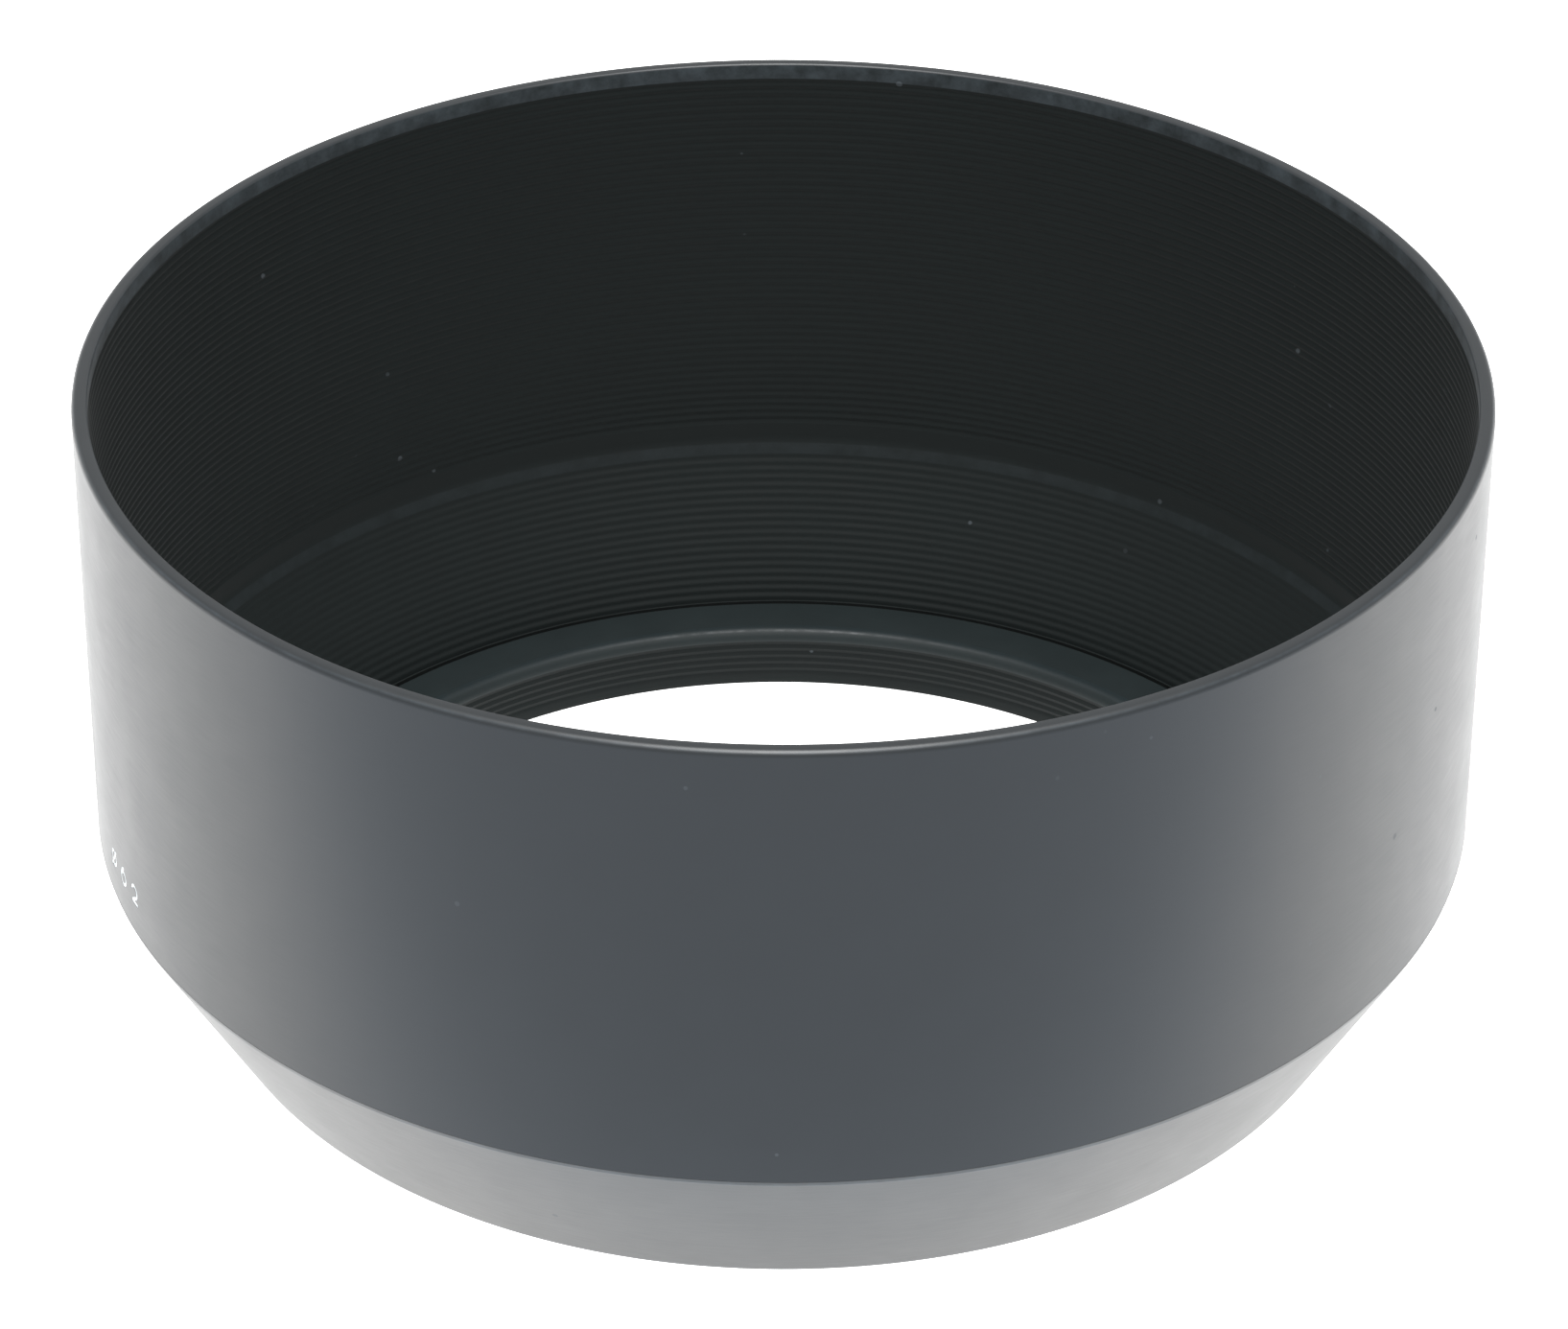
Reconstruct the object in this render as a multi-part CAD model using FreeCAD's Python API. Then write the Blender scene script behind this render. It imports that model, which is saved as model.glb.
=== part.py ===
"""Screw-in metal lens hood.

A turned aluminium barrel closes to a 30 degree cone at the rear. A flanged ring sits in the
cone's floor, and its threaded neck screws into the filter thread of a lens. Units are
millimetres. +Z points from the neck to the open front, along the optical axis, and the
origin is the centre of the neck's end face, which the hood stands on.
"""
import FreeCAD, Part
import math
import os

# Overall size
HOOD_HEIGHT = 39.1
BARREL_RADIUS = 39.6
BARREL_HEIGHT = 26.85         # from the front rim down to the start of the cone
CONE_ANGLE = 30.0             # between the cone's wall and the optical axis
CONE_WALL = 1.08              # measured square to the wall

# Front barrel
BARREL_BORE_RADIUS = 38.7
LIP_HEIGHT = 1.0              # plain band between the rim and the first groove
RIM_OUTER_ROUND = 0.38
RIM_INNER_CHAMFER = 0.08
BARREL_GROOVES = 48

# Lap joint between the barrel and the rear cone
LAP_RADIUS = 39.15
LAP_HEIGHT = 1.62
SHOULDER_BREAK = 0.25         # height of the eased edge under the barrel's end, at half the cone's angle

# Rear cone
INNER_CORNER_RADIUS = 1.0
CONE_PLAIN_BAND = 0.81        # height of the plain stretch between the inner corner and the first groove
CONE_GROOVES = 19             # the last one runs into the mount ring's recess
CONE_GROOVE_PITCH = 0.503     # measured along the wall
FLOOR_THICKNESS = 0.9
FLOOR_EDGE_CHAMFER = 0.1

# Mount ring
NECK_LENGTH = 2.1             # how far the neck stands out of the cone's floor
NECK_BORE_RADIUS = 29.8
FLANGE_RADIUS = 33.53
FLANGE_RECESS_RADIUS = 33.55
FLANGE_THICKNESS = 0.8
FLANGE_EDGE_CHAMFER = 0.04
FLANGE_INNER_ROUND = 0.72
SPIGOT_RADIUS = 31.6
NECK_GROOVES = 5
NECK_END_CHAMFER = 0.1

# Filter thread, M62 x 0.75
THREAD_RADIUS = 31.0
THREAD_PITCH = 0.75
THREAD_DEPTH = 0.46
THREAD_TURNS = 3
THREAD_CUTTER_MARGIN = 0.08   # how far the cutter stands out past the thread's crests
THREAD_RELIEF = 0.3           # turned undercut between the thread and the shoulder
RELIEF_DEPTH = 0.5
THREAD_LEAD = 0.3             # chamfer that starts the thread
THREAD_START = 30.0           # degrees round the neck, clear of the turned faces' own seam

# Glare grooves
BARREL_GROOVE_DEPTH = 0.1
CONE_GROOVE_DEPTH = 0.06
GROOVE_LAND = 0.1             # flat left between two grooves
NECK_GROOVE_DEPTH = 0.08
NECK_GROOVE_PITCH = 0.483

# Paint-filled size mark on the barrel
MARK_AZIMUTH = -68.3          # degrees from -Y, the side nearest a viewer, towards +X
MARK_BASELINE = 14.2
MARK_HEIGHT = 1.3
MARK_STROKE = 0.2
DIGIT_WIDTH = 0.78            # share of the mark's height
CIRCLE_WIDTH = 0.86
SLASH_REACH = (0.4, 0.5)      # of the diameter sign's stroke, each way from its middle
SIX_TIP = 100.0               # degrees, where the six's tail ends at the top
TWO_TIP = 170.0               # degrees, where the two's crown starts
TWO_LEAN = -35.0              # degrees, where its crown meets the straight stroke
MARK_SPACING = 2.0            # from one character's centre to the next
MARK_DEPTH = 0.1
MARK_RECESS = 0.02            # the paint dries a little below the metal

FLOOR_BOTTOM = NECK_LENGTH
FLOOR_TOP = FLOOR_BOTTOM + FLOOR_THICKNESS
LEDGE_HEIGHT = FLOOR_TOP + FLANGE_THICKNESS
SHOULDER_HEIGHT = HOOD_HEIGHT - BARREL_HEIGHT
SLOPE = math.tan(math.radians(CONE_ANGLE))
CONE_TOP_HEIGHT = SHOULDER_HEIGHT - SHOULDER_BREAK
CONE_TOP_RADIUS = BARREL_RADIUS - SHOULDER_BREAK * math.tan(math.radians(CONE_ANGLE / 2))
LEVEL_WALL = CONE_WALL / math.cos(math.radians(CONE_ANGLE))


def cone_outside(height):
    """Radius of the cone's outer face at a height."""
    return CONE_TOP_RADIUS - (CONE_TOP_HEIGHT - height) * SLOPE


def cone_inside(height):
    """Radius of the cone's inner face at a height, ignoring its grooves."""
    return cone_outside(height) - LEVEL_WALL


def grooved_wall(start, end, count, depth, land):
    """Profile points of a wall from start to end, with V grooves cut to the left of travel."""
    run = math.dist(start, end)
    along = ((end[0] - start[0]) / run, (end[1] - start[1]) / run)
    left = (-along[1], along[0])
    pitch = run / count

    def place(distance, cut):
        return (start[0] + along[0] * distance + left[0] * cut,
                start[1] + along[1] * distance + left[1] * cut)

    points = [start]
    for index in range(count):
        first = index * pitch
        points.append(place(first + land / 2, 0))
        points.append(place(first + pitch / 2, depth))
        points.append(place(first + pitch - land / 2, 0))
    points.append(end)
    return points


def turned(points):
    """Solid of revolution about the Z axis from a closed outline of (radius, height) points."""
    corners = [FreeCAD.Vector(radius, 0, height) for radius, height in points]
    outline = Part.makePolygon(corners + [corners[0]])
    return Part.Face(outline).revolve(FreeCAD.Vector(), FreeCAD.Vector(0, 0, 1), 360)


def rounded(centre, radius, first, last, steps=8):
    """Points of an arc about centre, from one angle to another in degrees."""
    angles = [math.radians(first + (last - first) * step / steps) for step in range(steps + 1)]
    return [(centre[0] + radius * math.cos(angle), centre[1] + radius * math.sin(angle))
            for angle in angles]


def front_barrel():
    """Tube with a plain outside, grooved inside, bored out at the rear for the cone's spigot."""
    lap_top = SHOULDER_HEIGHT + LAP_HEIGHT
    rim_edge = rounded((BARREL_RADIUS - RIM_OUTER_ROUND, HOOD_HEIGHT - RIM_OUTER_ROUND),
                       RIM_OUTER_ROUND, 0, 90)
    wall = grooved_wall((BARREL_BORE_RADIUS, HOOD_HEIGHT - LIP_HEIGHT), (BARREL_BORE_RADIUS, lap_top),
                        BARREL_GROOVES, BARREL_GROOVE_DEPTH, GROOVE_LAND)
    barrel = turned([
        (LAP_RADIUS, lap_top),
        (LAP_RADIUS, SHOULDER_HEIGHT),
        (BARREL_RADIUS, SHOULDER_HEIGHT),
    ] + rim_edge + [
        (BARREL_BORE_RADIUS + RIM_INNER_CHAMFER, HOOD_HEIGHT),
        (BARREL_BORE_RADIUS, HOOD_HEIGHT - RIM_INNER_CHAMFER),
    ] + wall)
    return barrel.cut(mark_prisms(BARREL_RADIUS - MARK_DEPTH, BARREL_RADIUS + MARK_DEPTH))


def rear_cone():
    """Cone with a spigot for the barrel above and a floor with the mount ring's hole below."""
    corner_height = CONE_TOP_HEIGHT - (CONE_TOP_RADIUS - LEVEL_WALL - BARREL_BORE_RADIUS) / SLOPE
    turn = math.radians(CONE_ANGLE)
    corner_centre = (BARREL_BORE_RADIUS - INNER_CORNER_RADIUS,
                     corner_height + INNER_CORNER_RADIUS * math.tan(turn / 2))
    corner = rounded(corner_centre, INNER_CORNER_RADIUS, 0, -CONE_ANGLE)
    grooves_start = corner_height - CONE_PLAIN_BAND
    grooves_end = grooves_start - CONE_GROOVES * CONE_GROOVE_PITCH * math.cos(turn)
    wall = grooved_wall((cone_inside(grooves_start), grooves_start),
                        (cone_inside(grooves_end), grooves_end),
                        CONE_GROOVES, CONE_GROOVE_DEPTH, GROOVE_LAND)
    to_last_groove_bottom = wall[:-2]
    return turned([
        (LAP_RADIUS, SHOULDER_HEIGHT + LAP_HEIGHT),
        (BARREL_BORE_RADIUS, SHOULDER_HEIGHT + LAP_HEIGHT),
    ] + corner + to_last_groove_bottom + [
        (FLANGE_RECESS_RADIUS, LEDGE_HEIGHT),
        (FLANGE_RECESS_RADIUS, FLOOR_TOP),
        (SPIGOT_RADIUS, FLOOR_TOP),
        (SPIGOT_RADIUS, FLOOR_BOTTOM),
        (cone_outside(FLOOR_BOTTOM) - FLOOR_EDGE_CHAMFER, FLOOR_BOTTOM),
        (cone_outside(FLOOR_BOTTOM + FLOOR_EDGE_CHAMFER), FLOOR_BOTTOM + FLOOR_EDGE_CHAMFER),
        (CONE_TOP_RADIUS, CONE_TOP_HEIGHT),
        (BARREL_RADIUS, SHOULDER_HEIGHT),
        (LAP_RADIUS, SHOULDER_HEIGHT),
    ])


def thread_cutter():
    """Ridge of 60 degrees wound along a helix, which leaves the filter thread when it is cut away."""
    root_radius = THREAD_RADIUS - THREAD_DEPTH
    mouth_radius = THREAD_RADIUS + THREAD_CUTTER_MARGIN
    root_half = THREAD_PITCH / 16
    mouth_half = root_half + (mouth_radius - root_radius) * math.tan(math.radians(30))
    tooth = Part.makePolygon([
        FreeCAD.Vector(root_radius, 0, -root_half),
        FreeCAD.Vector(root_radius, 0, root_half),
        FreeCAD.Vector(mouth_radius, 0, mouth_half),
        FreeCAD.Vector(mouth_radius, 0, -mouth_half),
        FreeCAD.Vector(root_radius, 0, -root_half),
    ])
    helix = Part.Wire(Part.makeHelix(THREAD_PITCH, THREAD_PITCH * THREAD_TURNS, root_radius))
    cutter = helix.makePipeShell([tooth], True, True)
    cutter.translate(FreeCAD.Vector(0, 0, NECK_LENGTH - THREAD_RELIEF - THREAD_PITCH * THREAD_TURNS))
    cutter.rotate(FreeCAD.Vector(), FreeCAD.Vector(0, 0, 1), THREAD_START)
    return cutter


def mount_ring():
    """Flanged ring: a rounded ledge inside the hood, a grooved bore, and the threaded neck."""
    round_bottom = LEDGE_HEIGHT - FLANGE_INNER_ROUND
    inner_edge = rounded((NECK_BORE_RADIUS + FLANGE_INNER_ROUND, round_bottom), FLANGE_INNER_ROUND, 90, 180)
    grooves_end = round_bottom - NECK_GROOVES * NECK_GROOVE_PITCH
    bore = grooved_wall((NECK_BORE_RADIUS, round_bottom), (NECK_BORE_RADIUS, grooves_end),
                        NECK_GROOVES, NECK_GROOVE_DEPTH, GROOVE_LAND)
    relief_radius = THREAD_RADIUS - RELIEF_DEPTH
    ring = turned(inner_edge + bore[1:] + [
        (NECK_BORE_RADIUS, NECK_END_CHAMFER),
        (NECK_BORE_RADIUS + NECK_END_CHAMFER, 0),
        (THREAD_RADIUS - THREAD_LEAD, 0),
        (THREAD_RADIUS, THREAD_LEAD),
        (THREAD_RADIUS, NECK_LENGTH - THREAD_RELIEF),
        (relief_radius, NECK_LENGTH - THREAD_RELIEF),
        (relief_radius, NECK_LENGTH),
        (SPIGOT_RADIUS, NECK_LENGTH),
        (SPIGOT_RADIUS, FLOOR_TOP),
        (FLANGE_RADIUS, FLOOR_TOP),
        (FLANGE_RADIUS, LEDGE_HEIGHT - FLANGE_EDGE_CHAMFER),
        (FLANGE_RADIUS - FLANGE_EDGE_CHAMFER, LEDGE_HEIGHT),
    ])
    return ring.cut(thread_cutter())


def flat_point(x, z):
    """Point in the upright plane in which a character is drawn before it is wrapped."""
    return FreeCAD.Vector(x, 0, z)


def bar(start, end):
    """Straight stroke of the mark between two points."""
    run = math.dist(start, end)
    aside = (-(end[1] - start[1]) / run * MARK_STROKE / 2, (end[0] - start[0]) / run * MARK_STROKE / 2)
    corners = [flat_point(start[0] + aside[0], start[1] + aside[1]),
               flat_point(end[0] + aside[0], end[1] + aside[1]),
               flat_point(end[0] - aside[0], end[1] - aside[1]),
               flat_point(start[0] - aside[0], start[1] - aside[1])]
    return Part.Face(Part.makePolygon(corners + [corners[0]]))


def bow(centre, radius, first, last):
    """Curved stroke of the mark about a centre, from one angle to another in degrees."""
    def edge(reach):
        def on_arc(angle):
            turn = math.radians(angle)
            return flat_point(centre[0] + reach * math.cos(turn), centre[1] + reach * math.sin(turn))
        return Part.Arc(on_arc(first), on_arc((first + last) / 2), on_arc(last)).toShape()

    outer = edge(radius + MARK_STROKE / 2)
    inner = edge(radius - MARK_STROKE / 2)
    ends = [Part.makeLine(outer.Vertexes[side].Point, inner.Vertexes[side].Point) for side in (0, 1)]
    return Part.Face(Part.Wire(Part.sortEdges([outer, ends[0], inner, ends[1]])[0]))


def diameter_sign():
    """A slashed circle."""
    radius = (MARK_HEIGHT * CIRCLE_WIDTH - MARK_STROKE) / 2
    middle = MARK_HEIGHT / 2
    across, up = (MARK_HEIGHT * share for share in SLASH_REACH)
    return [bow((0, middle), radius, 0, 180), bow((0, middle), radius, 180, 360),
            bar((-across, middle - up), (across, middle + up))]


def digit_six():
    """A round bowl with a curved tail."""
    bowl = (MARK_HEIGHT * DIGIT_WIDTH - MARK_STROKE) / 2
    bowl_middle = bowl + MARK_STROKE / 2
    sweep = MARK_HEIGHT - MARK_STROKE / 2 - bowl_middle
    return [bow((0, bowl_middle), bowl, 0, 180), bow((0, bowl_middle), bowl, 180, 360),
            bow((sweep - bowl, bowl_middle), sweep, SIX_TIP, 180)]


def digit_two():
    """A round crown, a slanting stroke and a flat foot."""
    crown = (MARK_HEIGHT * DIGIT_WIDTH - MARK_STROKE) / 2
    crown_middle = MARK_HEIGHT - MARK_STROKE / 2 - crown
    lean = math.radians(TWO_LEAN)
    foot = MARK_STROKE / 2
    return [bow((0, crown_middle), crown, TWO_LEAN, TWO_TIP),
            bar((crown * math.cos(lean), crown_middle + crown * math.sin(lean)), (-crown, foot)),
            bar((-crown - MARK_STROKE / 3, foot), (crown + MARK_STROKE / 3, foot))]


def mark_prisms(inner_radius, outer_radius):
    """The mark's characters as prisms between two radii, one solid each, wrapped on the barrel."""
    shell = Part.makeCylinder(outer_radius, HOOD_HEIGHT).cut(Part.makeCylinder(inner_radius, HOOD_HEIGHT))
    step = math.degrees(MARK_SPACING / BARREL_RADIUS)
    prisms = []
    for place, strokes in enumerate((diameter_sign(), digit_six(), digit_two())):
        cuts = [stroke.extrude(FreeCAD.Vector(0, -outer_radius * 2, 0)) for stroke in strokes]
        prism = cuts[0].multiFuse(cuts[1:]).removeSplitter()
        prism.translate(FreeCAD.Vector(0, 0, MARK_BASELINE))
        prism.rotate(FreeCAD.Vector(), FreeCAD.Vector(0, 0, 1), MARK_AZIMUTH + (place - 1) * step)
        prisms += prism.common(shell).Solids
    return Part.Compound(prisms)


def size_mark():
    """White paint in the barrel's engraved size mark."""
    return mark_prisms(BARREL_RADIUS - MARK_DEPTH, BARREL_RADIUS - MARK_RECESS)


def main():
    os.makedirs("parts", exist_ok=True)
    for make in (front_barrel, rear_cone, mount_ring, size_mark):
        make().exportStep(os.path.join("parts", make.__name__ + ".step"))


main()
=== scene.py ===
"""Screw-in metal lens hood: finished meshes, materials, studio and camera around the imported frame."""
import math
import bmesh
import bpy
from mathutils import Matrix, Vector


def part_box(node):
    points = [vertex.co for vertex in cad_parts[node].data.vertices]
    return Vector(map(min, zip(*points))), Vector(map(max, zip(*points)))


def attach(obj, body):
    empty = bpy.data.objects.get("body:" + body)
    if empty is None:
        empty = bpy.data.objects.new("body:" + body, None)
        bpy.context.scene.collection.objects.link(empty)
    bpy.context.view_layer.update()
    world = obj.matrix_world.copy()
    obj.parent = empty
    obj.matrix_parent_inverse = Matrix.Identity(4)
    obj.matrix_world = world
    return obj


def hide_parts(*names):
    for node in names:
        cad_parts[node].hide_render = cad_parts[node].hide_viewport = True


MM = 0.001
SEGMENTS = 288                 # facets round every turned piece
SHARP_EDGE = math.radians(32)  # facets that meet at more than this stay crisp
HAIR = 0.0001 * MM             # smaller than any real step

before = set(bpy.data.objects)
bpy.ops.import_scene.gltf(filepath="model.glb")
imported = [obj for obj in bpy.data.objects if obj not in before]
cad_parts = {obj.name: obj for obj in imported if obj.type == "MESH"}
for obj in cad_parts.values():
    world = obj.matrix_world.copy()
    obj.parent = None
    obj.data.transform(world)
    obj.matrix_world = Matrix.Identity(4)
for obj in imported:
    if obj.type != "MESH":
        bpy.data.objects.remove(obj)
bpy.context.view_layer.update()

# Heights and radii read from the frame, in metres
barrel_low, barrel_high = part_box("front_barrel")
cone_low, cone_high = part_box("rear_cone")
_, ring_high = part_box("mount_ring")
RIM_HEIGHT = barrel_high.z
SHOULDER_HEIGHT = barrel_low.z
LAP_TOP = cone_high.z
FLOOR_BOTTOM = cone_low.z
LEDGE_HEIGHT = ring_high.z
BARREL_RADIUS = (barrel_high.y - barrel_low.y) / 2
mark_low, mark_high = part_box("size_mark")
MARK_LOW = mark_low.z
MARK_HIGH = mark_high.z

# The rest of the section, as the lathe leaves it
BARREL_BORE = 38.7 * MM
LIP_HEIGHT = 1.0 * MM
RIM_ROUND = 0.38 * MM
RIM_INNER_ROUND = 0.17 * MM
LAP_RADIUS = 39.15 * MM
BARREL_GROOVES = 48
CONE_ANGLE = math.radians(30)
CONE_WALL = 1.08 * MM
SHOULDER_BREAK = 0.25 * MM     # height of the eased edge under the barrel's end
SHOULDER_ROUND = 0.2 * MM
BARREL_FOOT_ROUND = 0.04 * MM
MARK_MARGIN = 0.2 * MM         # the wall has an edge this far above and below the mark
INNER_CORNER_ROUND = 1.0 * MM
CONE_GROOVES = 19              # the last one runs into the mount ring's recess
CONE_GROOVE_PITCH = 0.503 * MM
CONE_PLAIN_BAND = 0.81 * MM
RECESS_RADIUS = 33.55 * MM
FLANGE_RADIUS = 33.54 * MM
FLANGE_EDGE_ROUND = 0.03 * MM
SPIGOT_RADIUS = 31.6 * MM
FLOOR_TOP = FLOOR_BOTTOM + 0.9 * MM
FLOOR_EDGE_ROUND = 0.1 * MM
NECK_BORE = 29.8 * MM
LEDGE_ROUND = 0.72 * MM
NECK_GROOVES = 5
NECK_GROOVE_PITCH = 0.483 * MM
NECK_GROOVE_DEPTH = 0.08 * MM
NECK_END_CHAMFER = 0.1 * MM
BARREL_GROOVE_DEPTH = 0.1 * MM
CONE_GROOVE_DEPTH = 0.06 * MM
THREAD_RADIUS = 31.0 * MM
THREAD_PITCH = 0.75 * MM
THREAD_DEPTH = 0.46 * MM
THREAD_STEEPNESS = 1.25        # a fifth of the pitch is left as a flat root
THREAD_RUNOUT = 0.1 * MM       # height in which the groove fades out at the relief
THREAD_RELIEF = 0.3 * MM       # height of the relief under the seat
THREAD_RELIEF_DEPTH = 0.04 * MM    # below the thread's root
THREAD_LEAD = 0.3 * MM         # chamfer at the thread's first turn
THREAD_ROWS = 56               # rows of facets up the thread

SLOPE = math.tan(CONE_ANGLE)
LEVEL_WALL = CONE_WALL / math.cos(CONE_ANGLE)
CONE_TOP_HEIGHT = SHOULDER_HEIGHT - SHOULDER_BREAK
CONE_TOP_RADIUS = BARREL_RADIUS - SHOULDER_BREAK * math.tan(CONE_ANGLE / 2)


# Finishes: base colours, refraction and roughness of the blacks
# the barrel's base is bluer than the cone's as painted reflection: the cool surroundings in front that the
# barrel mirrors
OUTER_BLACK = (0.0078, 0.0105, 0.0125)
OUTER_IOR = 1.5
CONE_BLACK = (0.009, 0.0105, 0.0105)
CONE_IOR = 1.57
SATIN_ROUGHNESS = 0.40
SATIN_DUST = 0.14              # share of the dust cells that hold a speck
RING_BLACK = (0.0090, 0.0134, 0.0141)
RING_IOR = 1.3
RING_ROUGHNESS = 0.6
RING_DUST = 0.2
INNER_BLACK = (0.0039, 0.0061, 0.0061)
INNER_IOR = 1.26
MATTE_ROUGHNESS = 0.72
MATTE_DUST = 0.26
# bluish grey the masked edges pale towards: rubbed wear, and the tint of painted highlights
WEAR_AND_PAINTED_LIGHT_GREY = (0.26, 0.32, 0.37, 1.0)
DUST_GREY = (0.42, 0.47, 0.52, 1.0)
DUST_CELLS = 420.0             # random cells per metre, some of which hold one speck
DUST_SIZE = 0.06               # of a cell
TURNED_LINES = (500, 500, 12000)   # scale of the noise: long round the axis, fine along it
MOTTLE_SCALE = 260.0
BREAKUP_SCALE = 700.0
GRAIN_SCALE = 9000.0
RELIEF = 0.02 * MM             # height of the bumps at full strength
PAINTED_LIGHT_CORNER_BAND = (LAP_TOP - 1.9 * MM, LAP_TOP - 1.4 * MM)   # painted light on the plain stretch below the inner corner
ENAMEL_CLEAN = (0.72, 0.77, 0.78, 1.0)
ENAMEL_SOILED = (0.54, 0.59, 0.60, 1.0)

# Studio and camera
FLOOR_SIZE = 3.0
TABLE_SINK = 0.02 * MM         # the table lies this far under the neck's end
TABLE_FRONT = 0.48             # glow in front of the hood
TABLE_BACK = 2.0               # glow under the hood and behind it
COOL_GLOW = (0.78, 1.0, 1.28, 1.0)     # colour of the front glow
PLAIN_GLOW = (1.0, 1.0, 0.995, 1.0)    # and of the back glow
PAPER_DARK = 0.48
PAPER_LIGHT = 0.52
TABLE_FADE = (-0.064, -0.029)  # where the front glow turns into the back glow
TABLE_FADE_BEND = -0.08        # how the fade bends away to the sides
ROOM_LIGHT = 0.9
OVERHEAD_POWER = 8.8
OVERHEAD_PLACE = (0, -0.2, 0.75)
OVERHEAD_AIM = (0, 0, 0.02)
OVERHEAD_SIZE = (0.26, 0.62)
RIM_ELEVATION = math.radians(28.992)   # of the camera, seen from the rim's centre
CAMERA_PITCH = math.radians(31.751)    # below the horizon
CAMERA_ROLL = math.radians(0.17)
CAMERA_DISTANCE = 8.604 * BARREL_RADIUS
CAMERA_LENS = 140.0
CAMERA_SHIFT = 0.0009          # of the frame's width


# ---------------------------------------------------------------- turned meshes

def cone_outside(height):
    return CONE_TOP_RADIUS - (CONE_TOP_HEIGHT - height) * SLOPE


def cone_inside(height):
    return cone_outside(height) - LEVEL_WALL


def softened(corners, steps=5):
    """Outline with each (radius, height, round) corner replaced by an arc of that round."""
    outline = []
    count = len(corners)
    for index, corner in enumerate(corners):
        here = Vector(corner[:2])
        reach = corner[2] if len(corner) > 2 else 0
        if not reach:
            outline.append(tuple(here))
            continue
        back = (Vector(corners[index - 1][:2]) - here).normalized()
        ahead = (Vector(corners[(index + 1) % count][:2]) - here).normalized()
        half = back.angle(ahead) / 2
        centre = here + (back + ahead).normalized() * reach / math.sin(half)
        first = here + back * reach / math.tan(half) - centre
        last = here + ahead * reach / math.tan(half) - centre
        turn = first.angle_signed(last)
        for step in range(steps + 1):
            spoke = Matrix.Rotation(-turn * step / steps, 2) @ first
            outline.append(tuple(centre + spoke))
    return outline


def grooved(start, end, count, depth, steps=6):
    """Wall from start to end with V grooves cut to the left of travel."""
    start, end = Vector(start), Vector(end)
    along = (end - start).normalized()
    left = Vector((-along.y, along.x))
    pitch = (end - start).length / count
    wall = []
    for index in range(count):
        for step in range(steps):
            phase = step / steps
            cut = depth * (1 - abs(2 * phase - 1))
            wall.append(tuple(start + along * pitch * (index + phase) + left * cut))
    wall.append(tuple(end))
    return wall


def lathe(name, outline, reach=None):
    """Closed solid of revolution; reach(angle, radius, height) may alter a point's radius."""
    mesh = bpy.data.meshes.new(name)
    build = bmesh.new()
    rings = []
    for radius, height in outline:
        ring = []
        for segment in range(SEGMENTS):
            angle = 2 * math.pi * segment / SEGMENTS
            local = reach(angle, radius, height) if reach else radius
            ring.append(build.verts.new((local * math.cos(angle), local * math.sin(angle), height)))
        rings.append(ring)
    for index, ring in enumerate(rings):
        following = rings[(index + 1) % len(rings)]
        for segment in range(SEGMENTS):
            beside = (segment + 1) % SEGMENTS
            build.faces.new((ring[segment], ring[beside], following[beside], following[segment]))
    bmesh.ops.recalc_face_normals(build, faces=build.faces)
    build.to_mesh(mesh)
    build.free()
    finish_mesh(mesh)
    piece = bpy.data.objects.new(name, mesh)
    bpy.context.scene.collection.objects.link(piece)
    return piece


def finish_mesh(mesh):
    """Smooth shading, kept crisp at real edges."""
    mesh.shade_smooth()
    mesh.set_sharp_from_angle(angle=SHARP_EDGE)


def hand_over(piece, node, outside, inside, matte_inside):
    """Stand a finished piece in for its CAD node, satin outside and matte where light must not bounce."""
    piece.data.materials.append(outside)
    piece.data.materials.append(inside)
    for face in piece.data.polygons:
        face.material_index = int(matte_inside(math.hypot(face.center.x, face.center.y), face.center.z))
    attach(piece, "root")
    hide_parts(node)
    return piece


# ---------------------------------------------------------------- node material helpers

class Nodes:
    """Short way to add and link shader nodes."""

    def __init__(self, name):
        self.material = bpy.data.materials.new(name)
        self.material.use_nodes = True
        self.tree = self.material.node_tree
        self.tree.nodes.clear()

    def add(self, kind, links=None, **settings):
        node = self.tree.nodes.new(kind)
        for key, value in settings.items():
            setattr(node, key, value)
        for socket, value in (links or {}).items():
            if isinstance(value, bpy.types.NodeSocket):
                self.tree.links.new(value, node.inputs[socket])
            else:
                node.inputs[socket].default_value = value
        return node

    def maths(self, operation, first, second=0.0, third=0.0, clamp=False):
        node = self.add("ShaderNodeMath", {0: first, 1: second, 2: third}, operation=operation)
        node.use_clamp = clamp
        return node.outputs[0]

    def band(self, value, low, high, soft):
        """1 where value lies between low and high, falling off over soft on both sides."""
        rise = self.ramp(value, low - soft, low)
        fall = self.ramp(value, high, high + soft)
        return self.maths("SUBTRACT", rise, fall, clamp=True)

    def ramp(self, value, start, end, low=0.0, high=1.0):
        node = self.add("ShaderNodeMapRange", {0: value, 1: start, 2: end, 3: low, 4: high})
        node.interpolation_type = "SMOOTHSTEP"
        return node.outputs[0]

    def noise(self, vector, scale, detail=3.0, roughness=0.55):
        node = self.add("ShaderNodeTexNoise", {"Vector": vector, "Scale": scale, "Detail": detail,
                                               "Roughness": roughness})
        return node.outputs[0]

    def blend(self, factor, first, second):
        node = self.add("ShaderNodeMix", data_type="RGBA")
        for socket, value in ((0, factor), (6, first), (7, second)):
            if isinstance(value, bpy.types.NodeSocket):
                self.tree.links.new(value, node.inputs[socket])
            else:
                node.inputs[socket].default_value = value
        return node.outputs[2]


def grey(value, tint=(1.0, 1.0, 1.0)):
    return (value * tint[0], value * tint[1], value * tint[2], 1.0)


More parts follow.
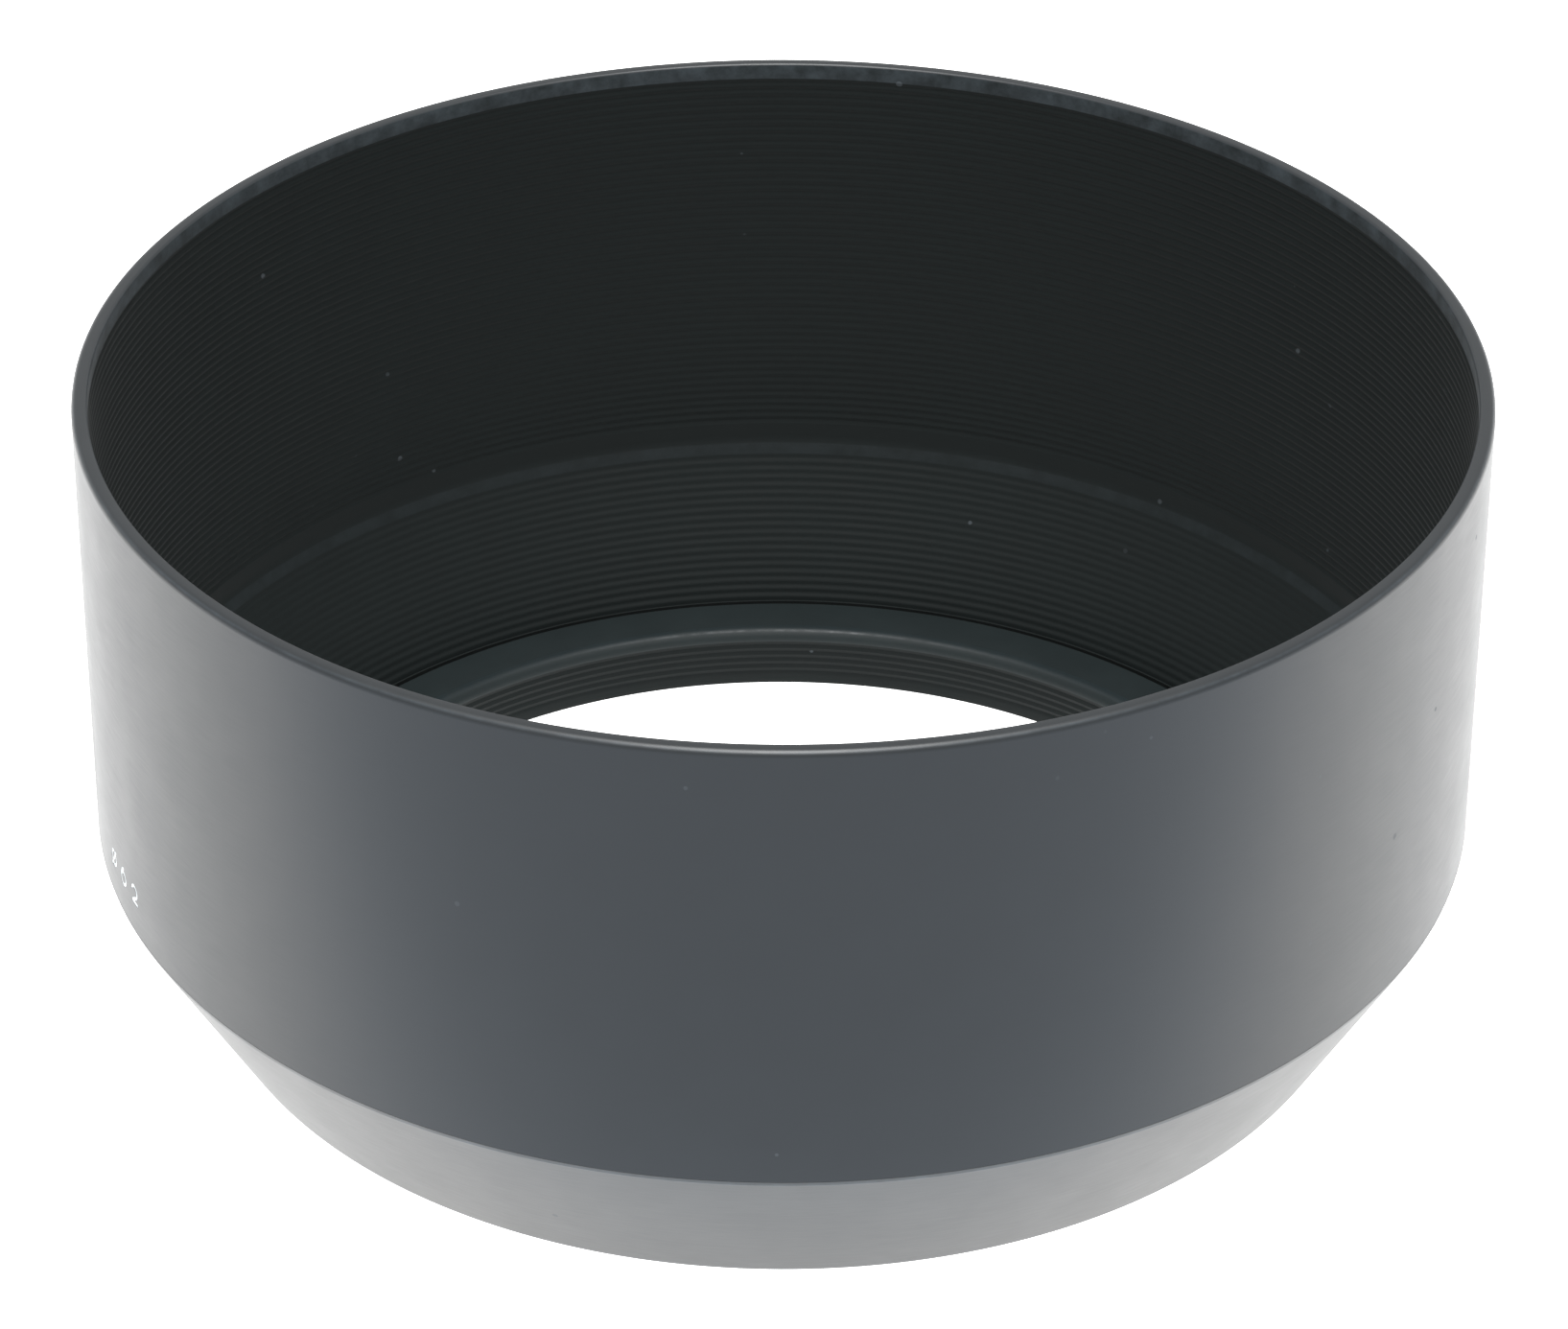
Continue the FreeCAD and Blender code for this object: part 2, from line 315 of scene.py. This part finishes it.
def place_sockets(nodes):
    """Object position, distance from the axis, and height."""
    position = nodes.add("ShaderNodeTexCoord").outputs["Object"]
    parts = nodes.add("ShaderNodeSeparateXYZ", {0: position})
    x, y, z = parts.outputs
    distance = nodes.maths("SQRT", nodes.maths("ADD", nodes.maths("MULTIPLY", x, x),
                                               nodes.maths("MULTIPLY", y, y)))
    return position, distance, z


def dust_specks(nodes, position, density, share, size):
    """Mask of small scattered specks: a share of random cells holds one dot each, some fainter."""
    cells = nodes.add("ShaderNodeTexVoronoi", {"Vector": position, "Scale": density, "Randomness": 1.0})
    chosen = nodes.add("ShaderNodeSeparateColor", {0: cells.outputs["Color"]})
    lucky = nodes.maths("GREATER_THAN", chosen.outputs[0], 1.0 - share)
    spread = nodes.maths("MULTIPLY_ADD", chosen.outputs[1], size, size * 0.4)
    dot = nodes.maths("LESS_THAN", cells.outputs["Distance"], spread)
    faint = nodes.maths("MULTIPLY_ADD", chosen.outputs[2], 0.8, 0.2)
    return nodes.maths("MULTIPLY", nodes.maths("MULTIPLY", lucky, dot), faint)


# ---------------------------------------------------------------- materials

def anodised(name, colour, roughness, ior, wear_and_painted_light_at, dust_share,
             wear_and_painted_light_tone=0.12, polish=0.0, dustiness=0.0):
    """Black anodised aluminium: fine turned lines, faint mottling, rubbed edges partly painted as
    highlight, and dust.

    The fifth argument gives, from distance and height, a mask of the edges made paler: where handling has
    thinned the black, and on some pieces a painted highlight and painted light as well. The paling tone is
    how far they pale, polish how much smoother they are, and dustiness a thin film of dust that shows at a
    grazing angle.
    """
    nodes = Nodes(name)
    position, distance, height = place_sockets(nodes)
    turned = nodes.add("ShaderNodeMapping", {"Vector": position, "Scale": TURNED_LINES})
    lines = nodes.noise(turned.outputs[0], 1.0, 2.0)
    mottle = nodes.noise(position, MOTTLE_SCALE, 4.0)
    grain = nodes.noise(position, GRAIN_SCALE, 2.0)
    breakup = nodes.noise(position, BREAKUP_SCALE, 5.0, 0.7)
    wear_and_painted_light = nodes.maths("MULTIPLY", wear_and_painted_light_at(nodes, distance, height), nodes.ramp(breakup, 0.1, 0.9))
    specks = dust_specks(nodes, position, DUST_CELLS, dust_share, DUST_SIZE)
    dark, light = grey(0.82, colour), grey(1.18, colour)
    base = nodes.blend(mottle, dark, light)
    # paler edges: rubbed wear, and on some pieces painted highlight and painted light
    base = nodes.blend(nodes.maths("MULTIPLY", wear_and_painted_light, wear_and_painted_light_tone), base, WEAR_AND_PAINTED_LIGHT_GREY)
    base = nodes.blend(nodes.maths("MULTIPLY", specks, 0.1), base, DUST_GREY)
    rough = nodes.maths("MULTIPLY_ADD", lines, 0.10, roughness - 0.05)
    rough = nodes.maths("MULTIPLY_ADD", mottle, 0.08, nodes.maths("SUBTRACT", rough, 0.04))
    rough = nodes.maths("MULTIPLY_ADD", wear_and_painted_light, -polish, rough)
    rough = nodes.maths("MULTIPLY_ADD", specks, 0.3, rough, clamp=True)
    relief = nodes.maths("ADD", nodes.maths("MULTIPLY", lines, 0.6), grain)
    bump = nodes.add("ShaderNodeBump", {"Strength": 0.06, "Distance": RELIEF, "Height": relief})
    shader = nodes.add("ShaderNodeBsdfPrincipled", {
        "Base Color": base, "Roughness": rough, "IOR": ior, "Normal": bump.outputs[0],
        "Sheen Weight": dustiness, "Sheen Roughness": 0.35})
    nodes.add("ShaderNodeOutputMaterial", {"Surface": shader.outputs[0]})
    return nodes.material


def plain_bands(nodes, distance, height):
    """Paler plain band under the front rim, and a little painted light on the plain band below the corner.
    """
    lip = nodes.ramp(height, RIM_HEIGHT - LIP_HEIGHT - 0.03 * MM, RIM_HEIGHT - LIP_HEIGHT + 0.03 * MM)
    corner = nodes.band(height, *PAINTED_LIGHT_CORNER_BAND, 0.1 * MM)
    return nodes.maths("ADD", nodes.maths("MULTIPLY", lip, 1.2), nodes.maths("MULTIPLY", corner, 0.2))


def barrel_wear_and_highlight(nodes, distance, height):
    """Both edges of the front rim, and the barrel's lower edge: rubbed wear, with the rim's outer round
    also a painted highlight.
    """
    rim = nodes.ramp(height, RIM_HEIGHT - 0.22 * MM, RIM_HEIGHT - 0.05 * MM)
    outer = nodes.ramp(distance, BARREL_RADIUS - 0.24 * MM, BARREL_RADIUS - 0.1 * MM)
    inner = nodes.ramp(distance, BARREL_BORE + 0.12 * MM, BARREL_BORE + 0.04 * MM)
    inner = nodes.maths("MULTIPLY", inner, 0.3)
    edges = nodes.maths("MULTIPLY", rim, nodes.maths("MAXIMUM", outer, inner))
    foot = nodes.ramp(height, SHOULDER_HEIGHT + 0.08 * MM, SHOULDER_HEIGHT)
    return nodes.maths("MAXIMUM", edges, nodes.maths("MULTIPLY", foot, 0.4))


def cone_wear(nodes, distance, height):
    """The shoulder's edge and the edge round the floor."""
    shoulder = nodes.band(height, SHOULDER_HEIGHT - 0.3 * MM, SHOULDER_HEIGHT - 0.1 * MM, 0.06 * MM)
    outside = nodes.ramp(distance, BARREL_RADIUS - 0.25 * MM, BARREL_RADIUS - 0.1 * MM)
    foot = nodes.ramp(height, FLOOR_BOTTOM + 0.25 * MM, FLOOR_BOTTOM + 0.1 * MM)
    return nodes.maths("MAXIMUM", nodes.maths("MULTIPLY", shoulder, outside),
                       nodes.maths("MULTIPLY", foot, 0.6))


def ring_wear_and_highlight(nodes, distance, height):
    """The ledge's rounded inner edge, rubbed and lightened as a painted highlight, and the thread's crests.
    """
    lip = nodes.band(distance, NECK_BORE + 0.35 * MM, NECK_BORE + 0.75 * MM, 0.12 * MM)
    lip = nodes.maths("MULTIPLY", lip, nodes.ramp(height, LEDGE_HEIGHT - 0.7 * MM, LEDGE_HEIGHT - 0.3 * MM))
    crests = nodes.ramp(distance, THREAD_RADIUS - 0.12 * MM, THREAD_RADIUS)
    crests = nodes.maths("MULTIPLY", crests, nodes.ramp(height, FLOOR_BOTTOM, FLOOR_BOTTOM - 0.1 * MM))
    return nodes.maths("MAXIMUM", lip, crests)


def enamel():
    """White enamel in the engraved mark: slightly uneven and a little soiled."""
    nodes = Nodes("mark_enamel")
    position = nodes.add("ShaderNodeTexCoord").outputs["Object"]
    soil = nodes.ramp(nodes.noise(position, 2600.0, 4.0), 0.35, 0.75)
    base = nodes.blend(soil, ENAMEL_CLEAN, ENAMEL_SOILED)
    rough = nodes.maths("MULTIPLY_ADD", soil, 0.2, 0.38)
    bump = nodes.add("ShaderNodeBump", {"Strength": 0.15, "Distance": RELIEF,
                                        "Height": nodes.noise(position, 5200.0, 3.0)})
    shader = nodes.add("ShaderNodeBsdfPrincipled", {
        "Base Color": base, "Roughness": rough, "Normal": bump.outputs[0]})
    nodes.add("ShaderNodeOutputMaterial", {"Surface": shader.outputs[0]})
    return nodes.material


# ---------------------------------------------------------------- the pieces

def front_barrel():
    outline = softened([
        (LAP_RADIUS, SHOULDER_HEIGHT),
        (BARREL_RADIUS, SHOULDER_HEIGHT, BARREL_FOOT_ROUND),
        (BARREL_RADIUS, MARK_LOW - MARK_MARGIN),
        (BARREL_RADIUS, MARK_HIGH + MARK_MARGIN),
        (BARREL_RADIUS, RIM_HEIGHT, RIM_ROUND),
        (BARREL_BORE, RIM_HEIGHT, RIM_INNER_ROUND),
        (BARREL_BORE, RIM_HEIGHT - LIP_HEIGHT),
    ])
    outline.pop()
    outline += grooved((BARREL_BORE, RIM_HEIGHT - LIP_HEIGHT), (BARREL_BORE, LAP_TOP),
                       BARREL_GROOVES, BARREL_GROOVE_DEPTH)
    outline.append((LAP_RADIUS, LAP_TOP))
    return lathe("hood_barrel", outline)


def rear_cone():
    corner_height = CONE_TOP_HEIGHT - (CONE_TOP_RADIUS - LEVEL_WALL - BARREL_BORE) / SLOPE
    grooves_start = corner_height - CONE_PLAIN_BAND
    outline = softened([
        (LAP_RADIUS, LAP_TOP),
        (BARREL_BORE, LAP_TOP),
        (BARREL_BORE, corner_height, INNER_CORNER_ROUND),
        (cone_inside(grooves_start), grooves_start),
    ])
    outline.pop()
    grooves_end = grooves_start - CONE_GROOVES * CONE_GROOVE_PITCH * math.cos(CONE_ANGLE)
    outline += grooved((cone_inside(grooves_start), grooves_start), (cone_inside(grooves_end), grooves_end),
                       CONE_GROOVES, CONE_GROOVE_DEPTH)
    outline = [point for point in outline if point[1] > LEDGE_HEIGHT]
    outline += softened([
        (RECESS_RADIUS, LEDGE_HEIGHT),
        (RECESS_RADIUS, FLOOR_TOP),
        (SPIGOT_RADIUS, FLOOR_TOP),
        (SPIGOT_RADIUS, FLOOR_BOTTOM),
        (cone_outside(FLOOR_BOTTOM), FLOOR_BOTTOM, FLOOR_EDGE_ROUND),
        (CONE_TOP_RADIUS, CONE_TOP_HEIGHT, SHOULDER_ROUND),
        (BARREL_RADIUS, SHOULDER_HEIGHT),
        (LAP_RADIUS, SHOULDER_HEIGHT),
    ])
    return lathe("hood_cone", outline)


def mount_ring():
    round_bottom = LEDGE_HEIGHT - LEDGE_ROUND
    grooves_end = round_bottom - NECK_GROOVES * NECK_GROOVE_PITCH
    thread_top = FLOOR_BOTTOM - THREAD_RELIEF

    def thread(angle, radius, height):
        """Radius of the filter thread on the neck's outside; every other face keeps its own."""
        if radius < THREAD_RADIUS - THREAD_LEAD - HAIR or height > thread_top + HAIR or height <= 0:
            return radius
        phase = (height / THREAD_PITCH - angle / (2 * math.pi)) % 1.0
        tooth = min(1.0, abs(phase - 0.5) * 2 * THREAD_STEEPNESS)
        root_fade = min(1.0, (thread_top - height) / THREAD_RUNOUT)
        return min(radius, THREAD_RADIUS - THREAD_DEPTH * tooth * root_fade)

    outline = softened([
        (FLANGE_RADIUS, LEDGE_HEIGHT, FLANGE_EDGE_ROUND),
        (NECK_BORE, LEDGE_HEIGHT, LEDGE_ROUND),
        (NECK_BORE, round_bottom),
    ], steps=8)
    outline = [point for point in outline if point[1] > round_bottom + HAIR]
    outline += grooved((NECK_BORE, round_bottom), (NECK_BORE, grooves_end), NECK_GROOVES, NECK_GROOVE_DEPTH)
    outline += [(NECK_BORE, NECK_END_CHAMFER), (NECK_BORE + NECK_END_CHAMFER, 0.0)]
    for row in range(THREAD_ROWS + 1):
        height = thread_top * row / THREAD_ROWS
        outline.append((THREAD_RADIUS - max(0.0, THREAD_LEAD - height), height))
    relief = THREAD_RADIUS - THREAD_DEPTH - THREAD_RELIEF_DEPTH
    outline += [(relief, thread_top + 10 * HAIR), (relief, FLOOR_BOTTOM), (SPIGOT_RADIUS, FLOOR_BOTTOM),
                (SPIGOT_RADIUS, FLOOR_TOP), (FLANGE_RADIUS, FLOOR_TOP)]
    return lathe("neck_ring", outline, reach=thread)


def in_barrel(radius, height):
    return radius < BARREL_BORE + BARREL_GROOVE_DEPTH * 1.1 and height < RIM_HEIGHT - RIM_INNER_ROUND * 0.6


def in_cone(radius, height):
    return radius < cone_outside(height) - CONE_WALL / 2 and height > LEDGE_HEIGHT - 0.1 * MM


def in_neck(radius, height):
    return radius < NECK_BORE + 0.25 * MM and height < LEDGE_HEIGHT - LEDGE_ROUND


def engrave(piece, mark, weld=0.0005 * MM, skin=0.05 * MM, clearance=0.1 * MM):
    """Cut the mark's characters into the barrel: the paint's own shape, raised through the surface."""
    shape = mark.data.copy()
    build = bmesh.new()
    build.from_mesh(shape)
    bmesh.ops.remove_doubles(build, verts=build.verts, dist=weld)
    for vertex in build.verts:
        radius = math.hypot(vertex.co.x, vertex.co.y)
        if radius > BARREL_RADIUS - skin:
            lift = (BARREL_RADIUS + clearance) / radius
            vertex.co.x *= lift
            vertex.co.y *= lift
    bmesh.ops.recalc_face_normals(build, faces=build.faces)
    build.to_mesh(shape)
    build.free()
    cutter = bpy.data.objects.new("mark_cutter", shape)
    bpy.context.scene.collection.objects.link(cutter)
    cut = piece.modifiers.new("engraving", "BOOLEAN")
    cut.operation = "DIFFERENCE"
    cut.solver = "EXACT"
    cut.object = cutter
    evaluated = piece.evaluated_get(bpy.context.evaluated_depsgraph_get())
    mesh = bpy.data.meshes.new_from_object(evaluated)
    piece.modifiers.clear()
    mesh.name = piece.name
    piece.data = mesh
    bpy.data.objects.remove(cutter)
    finish_mesh(mesh)
    true_round(mesh)


def true_round(mesh, skin=0.03 * MM, upright=0.02, square=0.99):
    """Give the outside wall the cylinder's own normals, so the cut characters leave no shading behind.

    A face belongs to the wall when it lies within skin of it, stands upright and faces squarely out.
    """
    normals = [corner.vector.copy() for corner in mesh.corner_normals]
    for face in mesh.polygons:
        centre, facing = face.center, face.normal
        radius = math.hypot(centre.x, centre.y)
        if radius < BARREL_RADIUS - skin or abs(facing.z) > upright:
            continue
        if facing.x * centre.x + facing.y * centre.y < square * radius:
            continue
        for corner in face.loop_indices:
            place = mesh.vertices[mesh.loops[corner].vertex_index].co
            normals[corner] = Vector((place.x, place.y, 0)).normalized()
    mesh.normals_split_custom_set(normals)


satin_black = anodised("satin_black_barrel", OUTER_BLACK, SATIN_ROUGHNESS, OUTER_IOR, barrel_wear_and_highlight,
                       SATIN_DUST)
satin_cone = anodised("satin_black_cone", CONE_BLACK, SATIN_ROUGHNESS, CONE_IOR, cone_wear, SATIN_DUST)
satin_ring = anodised("satin_black_ring", RING_BLACK, RING_ROUGHNESS, RING_IOR, ring_wear_and_highlight, RING_DUST,
                      wear_and_painted_light_tone=0.03, polish=0.4)
matte_black = anodised("matte_black_inside", INNER_BLACK, MATTE_ROUGHNESS, INNER_IOR, plain_bands,
                       MATTE_DUST, dustiness=0.05)

barrel = hand_over(front_barrel(), "front_barrel", satin_black, matte_black, in_barrel)
hand_over(rear_cone(), "rear_cone", satin_cone, matte_black, in_cone)
hand_over(mount_ring(), "mount_ring", satin_ring, matte_black, in_neck)

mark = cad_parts["size_mark"]
engrave(barrel, mark)
mark.material_slots[0].material = enamel()


# ---------------------------------------------------------------- studio and camera

def floor():
    """A pale table top that glows like an opal light table, and is clear from below."""
    nodes = Nodes("pale_table")
    position = nodes.add("ShaderNodeTexCoord").outputs["Object"]
    parts = nodes.add("ShaderNodeSeparateXYZ", {0: position})
    aside = nodes.maths("ABSOLUTE", parts.outputs[0])
    away = nodes.maths("MULTIPLY_ADD", aside, TABLE_FADE_BEND, parts.outputs[1])
    paper = nodes.noise(position, 90.0, 3.0)
    tone = nodes.blend(paper, grey(PAPER_DARK), grey(PAPER_LIGHT))
    matt = nodes.add("ShaderNodeBsdfDiffuse", {"Color": tone})
    strength = nodes.ramp(away, *TABLE_FADE, TABLE_FRONT, TABLE_BACK)
    shade = nodes.blend(nodes.ramp(away, *TABLE_FADE), COOL_GLOW, PLAIN_GLOW)
    glow = nodes.add("ShaderNodeEmission", {"Color": shade, "Strength": strength})
    lit = nodes.add("ShaderNodeAddShader", {0: matt.outputs[0], 1: glow.outputs[0]})
    clear = nodes.add("ShaderNodeBsdfTransparent")
    side = nodes.add("ShaderNodeNewGeometry").outputs["Backfacing"]
    both = nodes.add("ShaderNodeMixShader", {0: side, 1: lit.outputs[0], 2: clear.outputs[0]})
    nodes.add("ShaderNodeOutputMaterial", {"Surface": both.outputs[0]})
    mesh = bpy.data.meshes.new("table_top")
    half = FLOOR_SIZE / 2
    corners = [(-half, -half, 0), (half, -half, 0), (half, half, 0), (-half, half, 0)]
    mesh.from_pydata(corners, [], [(0, 1, 2, 3)])
    mesh.materials.append(nodes.material)
    table = bpy.data.objects.new("table_top", mesh)
    table.location.z = -TABLE_SINK
    bpy.context.scene.collection.objects.link(table)


def softbox(name, location, aim, size, power):
    data = bpy.data.lights.new(name, "AREA")
    data.shape = "RECTANGLE"
    data.size, data.size_y = size
    data.energy = power
    lamp = bpy.data.objects.new(name, data)
    lamp.location = location
    lamp.rotation_euler = (Vector(aim) - Vector(location)).to_track_quat("-Z", "Y").to_euler()
    bpy.context.scene.collection.objects.link(lamp)


def studio():
    world = bpy.data.worlds.new("soft_white_room")
    world.use_nodes = True
    background = world.node_tree.nodes["Background"]
    background.inputs["Color"].default_value = (1.0, 1.0, 1.0, 1.0)
    background.inputs["Strength"].default_value = ROOM_LIGHT
    bpy.context.scene.world = world
    floor()
    softbox("overhead_softbox", OVERHEAD_PLACE, OVERHEAD_AIM, OVERHEAD_SIZE, OVERHEAD_POWER)


def camera():
    data = bpy.data.cameras.new("camera")
    data.sensor_width = 36.0
    data.lens = CAMERA_LENS
    data.shift_x = CAMERA_SHIFT
    data.clip_start = 0.01
    view = bpy.data.objects.new("camera", data)
    back = Vector((0, -math.cos(RIM_ELEVATION), math.sin(RIM_ELEVATION)))
    view.location = Vector((0, 0, RIM_HEIGHT)) + back * CAMERA_DISTANCE
    tilt = Matrix.Rotation(math.pi / 2 - CAMERA_PITCH, 4, "X")
    view.rotation_euler = (tilt @ Matrix.Rotation(CAMERA_ROLL, 4, "Z")).to_euler()
    bpy.context.scene.collection.objects.link(view)
    bpy.context.scene.camera = view


studio()
camera()
bpy.context.scene.view_settings.view_transform = "Standard"
